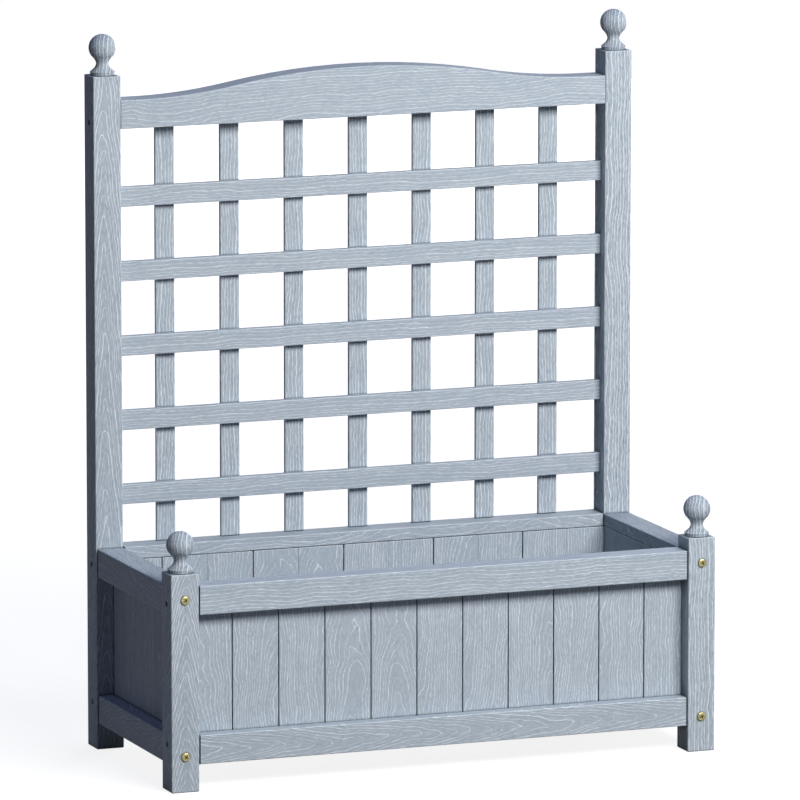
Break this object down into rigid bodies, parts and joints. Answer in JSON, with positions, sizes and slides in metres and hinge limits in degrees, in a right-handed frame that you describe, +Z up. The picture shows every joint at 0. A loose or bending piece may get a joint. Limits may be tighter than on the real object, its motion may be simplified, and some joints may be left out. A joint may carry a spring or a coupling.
{
  "type": "planter with trellis",
  "caption": "Rectangular timber planter box on square posts, with ball finials and a lattice trellis under an arched rail at the back.",
  "frame": {"origin": "on the ground, under the middle of the outline", "axes": "+Z up, +X to the right as seen from the front, +Y towards the trellis"},
  "size_m": [0.76, 0.3386, 0.9502],
  "materials": {
    "stained_timber": "blue-grey stain with pale grain, matt",
    "brass": "bright"
  },
  "bodies": {
    "root": {"front_post_left": "stained_timber", "front_finial_left": "stained_timber", "front_post_right": "stained_timber", "front_finial_right": "stained_timber", "rear_post_left": "stained_timber", "rear_finial_left": "stained_timber", "rear_post_right": "stained_timber", "rear_finial_right": "stained_timber", "arched_top_rail": "stained_timber", "lattice_rail_1": "stained_timber", "lattice_rail_2": "stained_timber", "lattice_rail_3": "stained_timber", "lattice_rail_4": "stained_timber", "lattice_rail_5": "stained_timber", "lattice_upright_1": "stained_timber", "lattice_upright_2": "stained_timber", "lattice_upright_3": "stained_timber", "lattice_upright_4": "stained_timber", "lattice_upright_5": "stained_timber", "lattice_upright_6": "stained_timber", "lattice_upright_7": "stained_timber", "front_bottom_rail": "stained_timber", "front_top_rail": "stained_timber", "back_bottom_rail": "stained_timber", "back_top_rail": "stained_timber", "left_bottom_rail": "stained_timber", "left_top_rail": "stained_timber", "right_bottom_rail": "stained_timber", "right_top_rail": "stained_timber", "front_board_1": "stained_timber", "front_board_2": "stained_timber", "front_board_3": "stained_timber", "front_board_4": "stained_timber", "front_board_5": "stained_timber", "front_board_6": "stained_timber", "back_board_1": "stained_timber", "back_board_2": "stained_timber", "back_board_3": "stained_timber", "back_board_4": "stained_timber", "back_board_5": "stained_timber", "back_board_6": "stained_timber", "left_panel": "stained_timber", "right_panel": "stained_timber", "floor_bearer_left": "stained_timber", "floor_bearer_centre": "stained_timber", "floor_bearer_right": "stained_timber", "floor_board_1": "stained_timber", "floor_board_2": "stained_timber", "floor_board_3": "stained_timber", "front_screw_left_bottom": "brass", "front_screw_left_top": "brass", "front_screw_right_bottom": "brass", "front_screw_right_top": "brass", "rear_screw_left_bottom": "brass", "rear_screw_left_top": "brass", "rear_screw_right_bottom": "brass", "rear_screw_right_top": "brass"}
  },
  "joints": []
}
